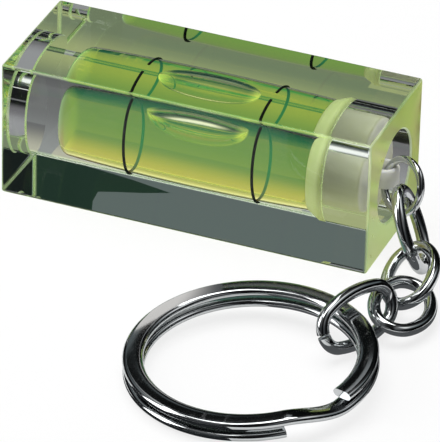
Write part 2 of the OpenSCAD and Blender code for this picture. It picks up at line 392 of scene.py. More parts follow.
@dataclass(frozen=True)
class LevelFluid(Finish):
    """Dyed level fluid that passes yellow light, set in acrylic, with a painted green glow through its
    depth, painted warm light on its lower front wall and a painted highlight at its blind end.
    """

    name: str = "dyed_fluid"
    tint: Colour = (0.99, 1.0, 0.97)
    index: float = FLUID_INDEX / ACRYLIC_INDEX
    absorb_tint: Colour = (0.94, 0.82, 0.0)
    absorb_density: float = 420.0
    # Painted light: the fluid's green glow is emitted through its depth, whatever light falls on it.
    glow: Colour = (0.15, 1.0, 0.92)
    glow_strength: float = 34.0
    # Painted light: a warm glow on the lower front wall, and a pale highlight along the blind end.
    painted_warm_light: Colour = (0.075, 0.03, 0.0)
    warm_top: float = 8.6 * MM
    warm_full: float = 5.0 * MM
    warm_low: float = 4.4 * MM
    warm_end: float = 3.1 * MM
    warm_depth: float = 1.6 * MM
    painted_rim_highlight: Colour = (0.07, 0.13, 0.05)
    rim_x: float = VIAL_START
    rim_reach: float = 0.8 * MM
    cloud_scale: float = 180.0
    cloud_share: float = 0.3

    def shade(self, kit: NodeKit) -> None:
        """Fill the material's tree.

        Args:
            kit: The tree's kit.
        """
        # A pool of painted warm light on the lower front wall and a painted highlight at the blind end, both
        # emitted from the fluid's skin.
        upper = kit.axis("Z").rise(self.warm_top, self.warm_full)
        lower = kit.axis("Z").rise(self.warm_end, self.warm_low)
        front = kit.axis("Y").rise(0.0, -self.warm_depth)
        painted_warm_share = upper * lower * front * kit.noise(self.cloud_scale).about_one(self.cloud_share)
        rim = kit.axis("X").rise(self.rim_x + self.rim_reach, self.rim_x)
        light = kit.blend(painted_warm_share, kit.blend(rim, UNLIT, self.painted_rim_highlight), self.painted_warm_light)
        glass = kit.node(
            "ShaderNodeBsdfGlass",
            None,
            {"Color": self.tint, "Roughness": 0.0, "IOR": self.index},
        )
        shine = kit.node("ShaderNodeEmission", None, {"Color": light})
        wall = kit.node("ShaderNodeAddShader", None, {0: glass, 1: shine})
        dye = kit.node(
            "ShaderNodeVolumeAbsorption",
            None,
            {"Color": self.absorb_tint, "Density": self.absorb_density},
        )
        # Painted glow through the fluid's depth.
        glow = kit.node(
            "ShaderNodeEmission", None, {"Color": self.glow, "Strength": self.glow_strength}
        )
        depth = kit.node("ShaderNodeAddShader", None, {0: dye, 1: glow})
        kit.node("ShaderNodeOutputMaterial", None, {"Surface": wall, "Volume": depth})


@dataclass(frozen=True)
class BubbleSkin(Finish):
    """Skin of an air bubble in the fluid, with painted highlights at its two ends."""

    name: str = "bubble_skin"
    tint: Colour = (0.99, 1.0, 1.0)
    index: float = 1.0 / FLUID_INDEX
    middle_x: float = LEVEL_X
    end_start: float = 4.1 * MM
    end_full: float = 5.3 * MM
    # Painted highlight at both ends of the bubble.
    painted_end_light: Colour = (0.20, 0.24, 0.05)
    grain_scale: float = 700.0
    grain_share: float = 0.8

    def shade(self, kit: NodeKit) -> None:
        """Fill the material's tree.

        Args:
            kit: The tree's kit.
        """
        # Painted highlights at the bubble's two ends, mottled by noise.
        off = kit.axis("X") - self.middle_x
        ends = off.larger(0.0 - off).rise(self.end_start, self.end_full)
        light = ends * kit.noise(self.grain_scale).about_one(self.grain_share)
        glass = kit.node(
            "ShaderNodeBsdfGlass",
            None,
            {"Color": self.tint, "Roughness": 0.0, "IOR": self.index},
        )
        shine = kit.node(
            "ShaderNodeEmission", None, {"Color": kit.blend(light, UNLIT, self.painted_end_light)}
        )
        wall = kit.node("ShaderNodeAddShader", None, {0: glass, 1: shine})
        kit.node("ShaderNodeOutputMaterial", None, {"Surface": wall})


@dataclass(frozen=True)
class MarkBlack(Finish):
    """Black of the level rings."""

    name: str = "ring_black"
    dark: Colour = (0.004, 0.006, 0.005)
    light: Colour = (0.014, 0.018, 0.016)
    grain_scale: float = 4000.0
    rough: float = 0.35
    rough_grain: float = 0.25
    gloss: float = 0.03

    def shade(self, kit: NodeKit) -> None:
        """Fill the material's tree.

        Args:
            kit: The tree's kit.
        """
        grain = kit.noise(self.grain_scale, detail=3.0)
        surface = kit.node(
            "ShaderNodeBsdfPrincipled",
            None,
            {
                "Base Color": kit.blend(grain, self.dark, self.light),
                "Roughness": self.rough + self.rough_grain * grain,
                "Specular IOR Level": self.gloss,
            },
        )
        kit.node("ShaderNodeOutputMaterial", None, {"Surface": surface})


@dataclass(frozen=True)
class PlugPlastic(Finish):
    """Off-white translucent plastic, with painted yellow-green light on the nose that meets the fluid,
    painted shade on its body inside the socket and a painted glow low down.
    """

    name: str = "moulded_plug"
    # Painted light: the nose that meets the fluid is painted yellow-green with the fluid's light.
    painted_nose_light: Tuple[Colour, Colour] = ((0.40, 0.50, 0.19), (0.50, 0.58, 0.27))
    # Painted shade: the body inside the socket is the same plastic, painted darker and greener.
    body: Tuple[Colour, Colour] = ((0.36, 0.38, 0.26), (0.44, 0.46, 0.33))
    lug: Tuple[Colour, Colour] = ((0.72, 0.72, 0.66), (0.82, 0.82, 0.77))
    land_x: float = SOCKET_START
    land_step: float = 0.1 * MM
    lug_x: float = 18.3 * MM
    lug_step: float = 0.3 * MM
    foot_top: float = 9.5 * MM
    foot_full: float = 5.0 * MM
    # Painted light: a glow on the lower part of the plug, short of the lug.
    painted_foot_light: Colour = (0.20, 0.21, 0.09)
    cloud_scale: float = 350.0
    grain_scale: float = 1600.0
    rough: float = 0.42
    rough_grain: float = 0.16
    gloss: float = 0.3
    milk: float = 0.5
    milk_depth: float = 1.2 * MM
    milk_ratio: Triple = (1.0, 1.0, 0.7)
    bump_share: float = 0.12
    bump_height: float = 0.02 * MM

    def shade(self, kit: NodeKit) -> None:
        """Fill the material's tree.

        Args:
            kit: The tree's kit.
        """
        cloud = kit.noise(self.cloud_scale)
        grain = kit.noise(self.grain_scale, detail=4.0)
        painted_nose_light, body, lug = (kit.blend(cloud, *shades) for shades in (self.painted_nose_light, self.body, self.lug))
        # Painted light on the nose, painted shade on the body inside the socket; the lug shows the plastic's
        # own off-white.
        past_nose = kit.axis("X").rise(self.land_x - self.land_step, self.land_x + self.land_step)
        outer = kit.axis("X").rise(self.lug_x - self.lug_step, self.lug_x)
        # Painted glow on the plug's lower part, which lamp light reaches little.
        painted_foot_share = kit.axis("Z").rise(self.foot_top, self.foot_full) * (1 - outer)
        surface = kit.node(
            "ShaderNodeBsdfPrincipled",
            None,
            {
                "Base Color": kit.blend(outer, kit.blend(past_nose, painted_nose_light, body), lug),
                "Roughness": self.rough + self.rough_grain * grain,
                "Subsurface Weight": self.milk,
                "Subsurface Radius": self.milk_ratio,
                "Subsurface Scale": self.milk_depth,
                "Specular IOR Level": self.gloss,
                "Emission Color": kit.blend(painted_foot_share, UNLIT, self.painted_foot_light),
                "Emission Strength": 1.0,
                "Normal": kit.bump(grain, self.bump_share, self.bump_height),
            },
        )
        kit.node("ShaderNodeOutputMaterial", None, {"Surface": surface})


@dataclass(frozen=True)
class BrightPlate(Finish):
    """Polished nickel plate with fine handling marks."""

    name: str = "bright_nickel"
    dark: Colour = (0.50, 0.52, 0.53)
    light: Colour = (0.63, 0.645, 0.65)
    cloud_scale: float = 260.0
    fine_scale: float = 5200.0
    fine_share: float = 0.5
    mark_scale: float = 1500.0
    mark_stretch: Triple = (1.0, 0.25, 1.0)
    mark_range: Pair = (0.56, 0.74)
    rough: float = 0.05
    rough_cloud: float = 0.05
    rough_marks: float = 0.10
    bump_share: float = 0.06
    bump_height: float = 0.01 * MM

    def shade(self, kit: NodeKit) -> None:
        """Fill the material's tree.

        Args:
            kit: The tree's kit.
        """
        cloud = kit.noise(self.cloud_scale, detail=3.0)
        fine = kit.noise(self.fine_scale, detail=3.0)
        marks = kit.noise(self.mark_scale, detail=4.0, stretch=self.mark_stretch)
        marks = marks.rise(*self.mark_range)
        height = fine * self.fine_share + marks
        surface = kit.node(
            "ShaderNodeBsdfPrincipled",
            None,
            {
                "Base Color": kit.blend(cloud, self.dark, self.light),
                "Metallic": 1.0,
                "Roughness": self.rough + self.rough_cloud * cloud + self.rough_marks * marks,
                "Normal": kit.bump(height, self.bump_share, self.bump_height),
            },
        )
        kit.node("ShaderNodeOutputMaterial", None, {"Surface": surface})


def add_object(name: str, data: bpy.types.ID) -> bpy.types.Object:
    """Put new data in the scene.

    Args:
        name: The object's name.
        data: Its mesh, lamp or camera.

    Returns:
        The new object.
    """
    made = bpy.data.objects.new(name, data)
    bpy.context.scene.collection.objects.link(made)
    return made


def take_mesh(form: bmesh.types.BMesh, name: str) -> bpy.types.Mesh:
    """Turn a mesh being made into a finished one.

    Args:
        form: The mesh being made, which is freed.
        name: The finished mesh's name.

    Returns:
        The finished mesh.
    """
    mesh = bpy.data.meshes.new(name)
    form.to_mesh(mesh)
    form.free()
    return mesh


def new_piece(name: str, mesh: bpy.types.Mesh, finish: Finish) -> bpy.types.Object:
    """Put a finished mesh in the scene as a piece.

    Args:
        name: The piece's name.
        mesh: Its mesh, in place.
        finish: Its finish.

    Returns:
        The new object.
    """
    mesh.materials.clear()
    mesh.materials.append(finish.material())
    return add_object(name, mesh)


def settle(piece: bpy.types.Object, body: Body, node: str) -> bpy.types.Object:
    """Ride a piece on its body in place of a solid.

    Args:
        piece: The piece.
        body: The body that it moves with.
        node: The solid that it stands for.

    Returns:
        The same piece.
    """
    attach(piece, body.value)
    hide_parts(node)
    LOG.info("%s: %d faces", piece.name, len(piece.data.polygons))
    return piece


def smooth_by_angle(mesh: bpy.types.Mesh, angle: float = SMOOTH_ANGLE) -> None:
    """Shade a mesh smooth, with sharp edges past an angle.

    Args:
        mesh: The mesh.
        angle: Edges that turn more than this stay sharp.
    """
    mesh.polygons.foreach_set("use_smooth", [True] * len(mesh.polygons))
    mesh.set_sharp_from_angle(angle=angle)
    mesh.update()


def skin_rings(form: bmesh.types.BMesh, rings: Sequence[Sequence[bmesh.types.BMVert]]) -> None:
    """Join rings of points into a closed skin whose faces point outwards.

    Args:
        form: The mesh being made.
        rings: Rings of equal count, the first and last of which may be one point.
    """
    for first, second in zip(rings, rings[1:]):
        sides = max(len(first), len(second))
        for k in range(sides):
            n = (k + 1) % sides
            if len(first) == 1:
                form.faces.new((first[0], second[k], second[n]))
            elif len(second) == 1:
                form.faces.new((first[k], second[0], first[n]))
            else:
                form.faces.new((first[k], second[k], second[n], first[n]))
    bmesh.ops.recalc_face_normals(form, faces=form.faces)


def lathe(name: str, outline: Sequence[Pair], axis_z: float, sides: int) -> bpy.types.Mesh:
    """Turn an outline about the vial's axis.

    Args:
        name: The mesh's name.
        outline: Radius and place along X of each point, starting and ending on the axis.
        axis_z: Height of the axis.
        sides: Faces round the axis.

    Returns:
        A closed mesh with its faces pointing outwards.
    """
    form = bmesh.new()
    turns = [2 * math.pi * k / sides for k in range(sides)]
    rings: List[List[bmesh.types.BMVert]] = []
    for radius, x in outline:
        around = turns if radius > ON_AXIS else turns[:1]
        points = [(x, radius * math.cos(a), axis_z + radius * math.sin(a)) for a in around]
        rings.append([form.verts.new(point) for point in points])
    skin_rings(form, rings)
    return take_mesh(form, name)


@dataclass
class WireSweep:
    """Sweeps wire along a path with Geometry Nodes."""

    sides: int = 28
    crown: float = 0.14
    edge_share: float = 0.499
    inputs: Sequence[Tuple[str, str]] = (
        ("Path", "NodeSocketGeometry"),
        ("Wire Width", "NodeSocketFloat"),
        ("Wire Height", "NodeSocketFloat"),
        ("Place", "NodeSocketVector"),
        ("Turn", "NodeSocketVector"),
        ("Finish", "NodeSocketMaterial"),
    )

    def round_section(self, kit: NodeKit, given: Dict[str, Sock]) -> Sock:
        """The section of round wire.

        Args:
            kit: The tree's kit.
            given: The tree's inputs.

        Returns:
            The section's curve.
        """
        return kit.node(
            "GeometryNodeCurvePrimitiveCircle",
            None,
            {"Resolution": self.sides, "Radius": given["Wire Width"] * 0.5},
        )

    def flat_section(self, kit: NodeKit, given: Dict[str, Sock]) -> Sock:
        """The section of flat wire, with round edges and a low crown on its faces.

        Args:
            kit: The tree's kit.
            given: The tree's inputs.

        Returns:
            The section's curve.
        """
        box = kit.node(
            "GeometryNodeCurvePrimitiveQuadrilateral",
            None,
            {"Width": given["Wire Width"], "Height": given["Wire Height"]},
        )
        radius = given["Wire Height"] * self.edge_share
        rounded = kit.node(
            "GeometryNodeFilletCurve",
            {"mode": "POLY"},
            {"Curve": box, "Count": self.sides // 4, "Radius": radius},
        )
        even = kit.node("GeometryNodeResampleCurve", None, {"Curve": rounded, "Count": 2 * self.sides})
        place = kit.node("GeometryNodeInputPosition")
        across = kit.part_of(place, "X") / given["Wire Width"]
        # A point at half the width, where across squared is a quarter, drops by the whole crown.
        drop = kit.part_of(place, "Y") * across * across * (-4 * self.crown)
        offset = kit.node("ShaderNodeCombineXYZ", None, {"Y": drop})
        return kit.node("GeometryNodeSetPosition", None, {"Geometry": even, "Offset": offset})

    def tree(self, form: WireForm) -> bpy.types.NodeTree:
        """The sweep's node tree, made on first use.

        Args:
            form: The wire's section.

        Returns:
            The tree, with named inputs for the wire's sizes and place.
        """
        name = f"{form.value}_{self.sides}"
        found = bpy.data.node_groups.get(name)
        if found is not None:
            return found
        tree = bpy.data.node_groups.new(name, "GeometryNodeTree")
        for label, kind in self.inputs:
            tree.interface.new_socket(label, in_out="INPUT", socket_type=kind)
        tree.interface.new_socket("Wire", in_out="OUTPUT", socket_type="NodeSocketGeometry")
        kit = NodeKit(tree)
        given = {label: kit.node("NodeGroupInput", out=label) for label, _ in self.inputs}
        path = kit.node("GeometryNodeMeshToCurve", None, {"Mesh": given["Path"]})
        if form is WireForm.FLAT:
            path = kit.node("GeometryNodeSetCurveNormal", {"mode": "Z_UP"}, {0: path})
            section = self.flat_section(kit, given)
        else:
            section = self.round_section(kit, given)
        wire = kit.node(
            "GeometryNodeCurveToMesh",
            None,
            {"Curve": path, "Profile Curve": section, "Fill Caps": True},
        )
        moved = kit.node(
            "GeometryNodeTransform",
            None,
            {"Geometry": wire, "Translation": given["Place"], "Rotation": given["Turn"]},
        )
        whole = kit.node("GeometryNodeRealizeInstances", None, {0: moved})
        done = kit.node(
            "GeometryNodeSetMaterial", None, {"Geometry": whole, "Material": given["Finish"]}
        )
        kit.node("NodeGroupOutput", None, {0: done})
        return tree

    def mesh(
        self,
        name: str,
        points: Sequence[Sequence[float]],
        closed: bool,
        width: float,
        height: Optional[float],
        place: Sequence[float],
        turn: Sequence[float],
        finish: Finish,
    ) -> bpy.types.Mesh:
        """Sweep one wire.

        Args:
            name: The mesh's name.
            points: The path's points.
            closed: True if the path joins its own start.
            width: Wire diameter, or width of flat wire.
            height: Height of flat wire, or None for round wire.
            place: Where the path's origin goes.
            turn: Turn of the path about X, Y and Z.
            finish: The wire's finish.

        Returns:
            A plain mesh, in place.
        """
        path = bpy.data.meshes.new(name + "_path")
        count = len(points)
        edges = [(i, (i + 1) % count) for i in range(count if closed else count - 1)]
        path.from_pydata([tuple(p) for p in points], edges, [])
        holder = add_object(name + "_path", path)
        tree = self.tree(WireForm.ROUND if height is None else WireForm.FLAT)
        swept = holder.modifiers.new("wire", "NODES")
        swept.node_group = tree
        values = {
            "Wire Width": width,
            "Wire Height": height or width,
            "Place": tuple(place),
            "Turn": tuple(turn),
            "Finish": finish.material(),
        }
        for item in tree.interface.items_tree:
            if item.in_out == "INPUT" and item.name in values:
                swept[item.identifier] = values[item.name]
        graph = bpy.context.evaluated_depsgraph_get()
        mesh = bpy.data.meshes.new_from_object(holder.evaluated_get(graph))
        mesh.name = name
        holder.modifiers.remove(swept)
        bpy.data.objects.remove(holder)
        bpy.data.meshes.remove(path)
        form = bmesh.new()
        form.from_mesh(mesh)
        bmesh.ops.recalc_face_normals(form, faces=form.faces)
        form.to_mesh(mesh)
        form.free()
        smooth_by_angle(mesh)
        return mesh


@dataclass
class ClearBlock:
    """The clear block, with the recess at its blind end and the plug's socket."""

    length: float = 40 * MM
    depth: float = 15 * MM
    height: float = 15 * MM
    edge: float = 0.3 * MM
    edge_steps: int = 5
    recess_radius: float = 4.8 * MM
    recess_depth: float = 2.1 * MM
    socket_radius: float = 4.85 * MM
    socket_start: float = SOCKET_START
    pocket_break: float = 0.18 * MM
    cutter_spare: float = 1.0 * MM
    sides: int = 160
    flat_lean: float = 0.9999
    wall_lean: float = 0.01
    full_lean: float = 0.65

    def bar(self) -> bpy.types.Object:
        """The solid block with rounded edges.

        Returns:
            The block before its pockets are cut.
        """
        form = bmesh.new()
        bmesh.ops.create_cube(form, size=1.0)
        bmesh.ops.scale(form, vec=(self.length, self.depth, self.height), verts=form.verts)
        bmesh.ops.translate(form, vec=(0, 0, self.height / 2), verts=form.verts)
        bmesh.ops.bevel(
            form,
            geom=form.edges[:],
            offset=self.edge,
            offset_type="OFFSET",
            segments=self.edge_steps,
            profile=0.5,
            affect="EDGES",
        )
        return add_object("block_bar", take_mesh(form, "block"))

    def cutter(self, radius: float, mouth: float, floor: float) -> bpy.types.Object:
        """A round cutter on the vial's axis that breaks its pocket's edges.

        Args:
            radius: Its radius.
            mouth: Place along X of the pocket's mouth.
            floor: Place along X of the pocket's floor.

        Returns:
            The cutter.
        """
        inward = math.copysign(1.0, floor - mouth)
        step = inward * self.pocket_break
        wide, narrow = radius + self.pocket_break, radius - self.pocket_break
        start = mouth - inward * self.cutter_spare
        outline = [
            (0.0, start),
            (wide, start),
            (wide, mouth),
            (radius, mouth + step),
            (radius, floor - step),
            (narrow, floor),
            (0.0, floor),
        ]
        return add_object("cutter", lathe("cutter", outline, self.height / 2, self.sides))

    def build(self) -> bpy.types.Object:
        """Cut the two round pockets and settle the block.

        Returns:
            The block.
        """
        bar = self.bar()
        end = self.length / 2
        tools = [
            self.cutter(self.recess_radius, -end, -end + self.recess_depth),
            self.cutter(self.socket_radius, end, self.socket_start),
        ]
        for tool in tools:
            cut = bar.modifiers.new("cut", "BOOLEAN")
            cut.operation = "DIFFERENCE"
            cut.solver = "EXACT"
            cut.object = tool
        graph = bpy.context.evaluated_depsgraph_get()
        mesh = bpy.data.meshes.new_from_object(bar.evaluated_get(graph))
        for spare in (bar, *tools):
            bpy.data.objects.remove(spare)
        mesh.name = "acrylic_block"
        finish = ClearAcrylic()
        self.sharpen(mesh)
        self.mark_edges(mesh, finish.edge_mark)
        piece = new_piece("acrylic_block", mesh, finish)
        piece.visible_shadow = False
        return settle(piece, Body.LEVEL, "block")

    def sharpen(self, mesh: bpy.types.Mesh) -> None:
        """Shade the pocket walls and rounded edges smooth and the flat faces flat.

        Args:
            mesh: The block's mesh.
        """
        smooth_by_angle(mesh)
        form = bmesh.new()
        form.from_mesh(mesh)
        flat = {f.index for f in form.faces if max(abs(c) for c in f.normal) > self.flat_lean}
        for edge in form.edges:
            kinds = {f.index in flat for f in edge.link_faces}
            if len(kinds) == 2:
                edge.smooth = False
        form.to_mesh(mesh)
        form.free()

    def mark_edges(self, mesh: bpy.types.Mesh, mark: str) -> None:
        """Mark the rounded and broken edges for the finish's roughness and its painted edge light.

        Args:
            mesh: The block's mesh.
            mark: Name of the attribute, up to 1 on those edges and 0 elsewhere.
        """
        values = []
        for face in mesh.polygons:
            lean = sorted(abs(c) for c in face.normal)[1]
            reach = math.hypot(face.center.y, face.center.z - self.height / 2)
            inside = reach < self.socket_radius + self.pocket_break
            wall = inside and abs(face.normal.x) < self.wall_lean
            values.append(0.0 if wall else min(1.0, lean / self.full_lean))
        made = mesh.attributes.new(mark, "FLOAT", "FACE")
        made.data.foreach_set("value", values)


@dataclass
class Vial:
    """The fluid, the bubble and the level rings."""

    axis_z: float = 7.5 * MM
    radius: float = 4.4 * MM
    barrel: float = 220 * MM
    start: float = VIAL_START
    end: float = 12.4 * MM
    corner: float = 1.0 * MM
    corner_steps: int = 8
    wall_steps: int = 40
    sides: int = 160
    level_x: float = LEVEL_X
    ring_spacing: float = 14 * MM
    ring_wire: float = 0.32 * MM
    ring_opening: float = 20.0
    ring_proud: float = 0.06 * MM
    ring_steps: int = 140
    ring_sides: int = 16
    bubble_length: float = 11 * MM
    bubble_width: float = 5.4 * MM
    bubble_depth: float = 3.3 * MM
    bubble_film: float = 0.3 * MM
    bubble_crown: float = 25 * MM
    bubble_fullness: float = 2.15
    bubble_rim: float = 10.0
    bubble_least: float = 0.02 * MM
    bubble_tip: float = 0.01 * MM
    bubble_steps: int = 80
    bubble_sides: int = 96
    bubble_smooth: float = math.radians(80)

    def wall(self, x: float) -> float:
        """Radius of the barrel-shaped vial at a place along it."""
        return self.radius - self.barrel + math.sqrt(self.barrel**2 - (x - self.level_x) ** 2)

    def fluid(self) -> bpy.types.Object:
        """The fluid, filling the vial.

        Returns:
            The fluid.
        """
        outline: List[Pair] = [(0.0, self.start)]
        x1 = self.start + self.corner
        r1 = self.wall(x1) - self.corner
        for i in range(self.corner_steps + 1):
            a = math.pi / 2 * i / self.corner_steps
            outline.append((r1 + self.corner * math.sin(a), x1 - self.corner * math.cos(a)))
        for i in range(1, self.wall_steps + 1):
            x = x1 + (self.end - x1) * i / self.wall_steps
            outline.append((self.wall(x), x))
        outline.append((0.0, self.end))
        mesh = lathe("level_fluid", outline, self.axis_z, self.sides)
        smooth_by_angle(mesh)
        piece = new_piece("level_fluid", mesh, LevelFluid())
        return settle(piece, Body.LEVEL, "vial_fluid")

    def bubble_section(self, x: float) -> Optional[List[Pair]]:
        """The bubble's section: a round belly under a crown, with a rounded rim.

        Args:
            x: Place along the bubble from its middle.

        Returns:
            Points of the section across and up from the vial's axis, or None past the ends.
        """
        crown_top = self.radius - self.bubble_film
        crown = crown_top - self.bubble_crown + math.sqrt(self.bubble_crown**2 - x**2)
        share = 1 - abs(2 * x / self.bubble_length) ** self.bubble_fullness
        belly = self.bubble_width / 2 * max(0.0, share) ** (1 / self.bubble_fullness)
        belly_z = crown_top - self.bubble_depth + self.bubble_width / 2
        low = belly_z - belly
        if crown - low < self.bubble_least:
            return None
        middle = (crown + low) / 2
        points = []
        for k in range(self.bubble_sides):
            t = 2 * math.pi * k / self.bubble_sides
            way = Vector((math.cos(t), math.sin(t)))
            reach = 0.0
            for centre, radius in ((0.0, crown), (belly_z, belly)):
                off = Vector((0.0, middle - centre))
                along = off.dot(way)
                out = math.sqrt(max(0.0, along**2 - off.length_squared + radius**2)) - along
                reach += max(out, self.bubble_tip) ** -self.bubble_rim
            spread = way * reach ** (-1 / self.bubble_rim)
            points.append((spread.x, middle + spread.y))
        return points

    def bubble(self) -> bpy.types.Object:
        """The air bubble under the vial's crown.

        Returns:
            The bubble.
        """
        form = bmesh.new()
        rings: List[List[bmesh.types.BMVert]] = []
        for i in range(1, self.bubble_steps):
            x = -math.cos(math.pi * i / self.bubble_steps) * self.bubble_length / 2
            section = self.bubble_section(x)
            if section is not None:
                points = [(self.level_x + x, y, self.axis_z + z) for y, z in section]
                rings.append([form.verts.new(point) for point in points])
        for ring, at in ((rings[0], 0), (rings[-1], len(rings) + 1)):
            middle = sum((v.co for v in ring), Vector()) / len(ring)
            rings.insert(at, [form.verts.new(middle)])
        skin_rings(form, rings)
        mesh = take_mesh(form, "air_bubble")
        smooth_by_angle(mesh, self.bubble_smooth)
        piece = new_piece("air_bubble", mesh, BubbleSkin())
        return settle(piece, Body.BUBBLE, "bubble")

    def level_ring(self, name: str, x: float) -> bpy.types.Object:
        """A level ring in the vial's wall, open at the top.

        Args:
            name: The solid that it stands for.
            x: Its place along the vial.

        Returns:
            The ring.
        """
        radius = self.wall(x) + self.ring_wire / 2 - self.ring_proud
        first = 90 + self.ring_opening / 2
        sweep = 360 - self.ring_opening
        points = []
        for i in range(self.ring_steps + 1):
            a = math.radians(first + sweep * i / self.ring_steps)
            points.append((0.0, radius * math.cos(a), radius * math.sin(a)))
        place, unturned = (x, 0.0, self.axis_z), (0.0, 0.0, 0.0)
        finish = MarkBlack()
        sweeper = WireSweep(self.ring_sides)
        mesh = sweeper.mesh(name, points, False, self.ring_wire, None, place, unturned, finish)
        piece = new_piece("mark_" + name, mesh, finish)
        return settle(piece, Body.LEVEL, name)

    def build(self) -> None:
        """Make the fluid, the bubble and both level rings."""
        self.fluid()
        self.bubble()
        self.level_ring("level_ring_left", self.level_x - self.ring_spacing / 2)
        self.level_ring("level_ring_right", self.level_x + self.ring_spacing / 2)


@dataclass
class EndPlug:
    """The plug with its eyelet, from the solid's own form."""

    merge: float = 0.0005 * MM

    def build(self) -> bpy.types.Object:
        """Copy the solid, close its seams and shade it smooth.

        Returns:
            The plug.
        """
        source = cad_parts["end_plug"]
        mesh = source.data.copy()
        mesh.name = "eyelet_plug"
        form = bmesh.new()
        form.from_mesh(mesh)
        bmesh.ops.remove_doubles(form, verts=form.verts, dist=self.merge)
        form.to_mesh(mesh)
        form.free()
        smooth_by_angle(mesh)
        piece = new_piece("eyelet_plug", mesh, PlugPlastic())
        return settle(piece, Body.LEVEL, "end_plug")


@dataclass(frozen=True)
class OvalLink:
    """Sizes of an oval link: its outside, its end bends, its wire and its slit."""

    length: float
    width: float
    bend: float
    wire: float = 1.3 * MM
    slit: float = 0.0

    def path(self, steps: int) -> List[Triple]:
        """The wire's middle line: two end bends and two long side curves.

        Args:
            steps: Points on each curve.

        Returns:
            The line's points, from the link's -X end.
        """
        half = (self.length - self.wire) / 2
        across = (self.width - self.wire) / 2
        end = half - self.bend
        rest = across - self.bend
        side = (end**2 - rest**2) / (2 * rest)
        turn = math.atan2(side, end)
        gap = math.asin(self.slit / 2 / self.bend)
        curves = [
            (-end, 0.0, self.bend, math.pi + gap, math.pi + turn),
            (0.0, side, across + side, math.pi + turn, 2 * math.pi - turn),
            (end, 0.0, self.bend, -turn, turn),
            (0.0, -side, across + side, turn, math.pi - turn),
            (-end, 0.0, self.bend, math.pi - turn, math.pi - gap),
        ]
        points = []
        for x, y, radius, first, last in curves:
            for i in range(steps):
                a = first + (last - first) * i / steps
                points.append((x + radius * math.cos(a), y + radius * math.sin(a), 0.0))
        if self.slit:
            x, y, radius, _, last = curves[-1]
            points.append((x + radius * math.cos(last), y + radius * math.sin(last), 0.0))
        return points


@dataclass
class Chain:
    """The jump ring, the oval links and the open connecting link, with their lies in degrees."""

    jump_diameter: float = 6.2 * MM
    jump_wire: float = 0.8 * MM
    jump_lie: Triple = (-108, 0, -32)
    link: OvalLink = OvalLink(9.4 * MM, 6.8 * MM, 2.2 * MM)
    link_lies: Sequence[Triple] = ((-43, 55.8992, -37), (-31, -9, 109), (-16, 1, -90))
    connector: OvalLink = OvalLink(11.2 * MM, 6.2 * MM, 2.0 * MM, slit=0.3 * MM)
    connector_lie: Triple = (66, 0, 69)
    steps: int = 40

    def wire(
        self,
        body: Body,
        points: Sequence[Sequence[float]],
        closed: bool,
        wire: float,
        lie: Sequence[float],
    ) -> bpy.types.Object:
        """One piece of the chain, about the middle of its solid.

        Args:
            body: The body and solid that it stands for.
            points: Its path.
            closed: True if the path is closed.
            wire: Wire diameter.
            lie: Its turn about X, Y and Z in degrees.

        Returns:
            The piece.
        """
        finish = BrightPlate()
        low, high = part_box(body.value)
        place = (Vector(low) + Vector(high)) / 2
        turn = [math.radians(v) for v in lie]
        name = "wire_" + body.value
        mesh = WireSweep().mesh(name, points, closed, wire, None, place, turn, finish)
        return settle(new_piece(name, mesh, finish), body, body.value)

    def build(self) -> None:
        """Make every piece of the chain."""
        count = 4 * self.steps
        radius = (self.jump_diameter - self.jump_wire) / 2
        turns = [2 * math.pi * i / count for i in range(count)]
        circle = [(radius * math.cos(a), radius * math.sin(a), 0.0) for a in turns]
        self.wire(Body.JUMP_RING, circle, True, self.jump_wire, self.jump_lie)
        oval = self.link.path(self.steps)
        for body, lie in zip((Body.LINK_1, Body.LINK_2, Body.LINK_3), self.link_lies):
            self.wire(body, oval, True, self.link.wire, lie)
        opened = self.connector.path(self.steps)
        self.wire(Body.CONNECTOR, opened, False, self.connector.wire, self.connector_lie)


@dataclass
class KeyRing:
    """The split ring: flat wire in nearly two turns, with its angles in degrees."""

    mid_radius: float = 11.45 * MM
    band: float = 2.1 * MM
    wire: float = 0.9 * MM
    gap: float = 0.42 * MM
    upper_end: float = -18.5
    lower_end: float = -52.5
    bearing: float = 48.0
    tilt: float = 4.1577
    place: Triple = (16.2311 * MM, -29.5409 * MM, 1.98073 * MM)
    steps: int = 420
    sides: int = 40

    def path(self) -> List[Triple]:
        """The wire's path about the ring's own middle.

        Returns:
            The path's points, from the upper end to the lower one.
        """
        step = self.upper_end - self.lower_end
        sweep = 720 - step
        pitch = self.wire + self.gap
        points = []
        for i in range(self.steps + 1):
            a = sweep * i / self.steps
            # The wire goes down from one turn to the other between its two ends, in a smooth step.
            u = min(1.0, max(0.0, (a - (360 - step)) / step))
            level = pitch * (0.5 - u * u * (3 - 2 * u))
            t = math.radians(self.upper_end + a)
            points.append((self.mid_radius * math.cos(t), self.mid_radius * math.sin(t), level))
        return points

    def build(self) -> bpy.types.Object:
        """Sweep the flat wire and settle the ring.

        Returns:
            The ring.
        """
        about = Matrix.Rotation(math.radians(self.bearing), 3, "Z")
        lean = Matrix.Rotation(math.radians(-self.tilt), 3, "Y")
        turn = (about @ lean @ about.inverted()).to_euler()
        name, finish = "split_key_ring", BrightPlate()
        sweeper = WireSweep(self.sides)
        mesh = sweeper.mesh(
            name, self.path(), False, self.band, self.wire, self.place, tuple(turn), finish
        )
        return settle(new_piece(name, mesh, finish), Body.KEY_RING, "split_ring")


def level_outline(outline: Sequence[Pair], z: float) -> List[Triple]:
    """Corners of a level outline of X and Y, at a height."""
    return [(x, y, z) for x, y in outline]


def upright_outline(outline: Sequence[Pair], y: float) -> List[Triple]:
    """Corners of an upright outline of X and Z, at a depth."""
    return [(x, y, z) for x, z in outline]


def oblong(x: Pair, y: Pair, z: float) -> List[Triple]:
    """Corners of a level oblong between two places along X and two along Y, at a height."""
    return level_outline([(x[0], y[0]), (x[1], y[0]), (x[1], y[1]), (x[0], y[1])], z)


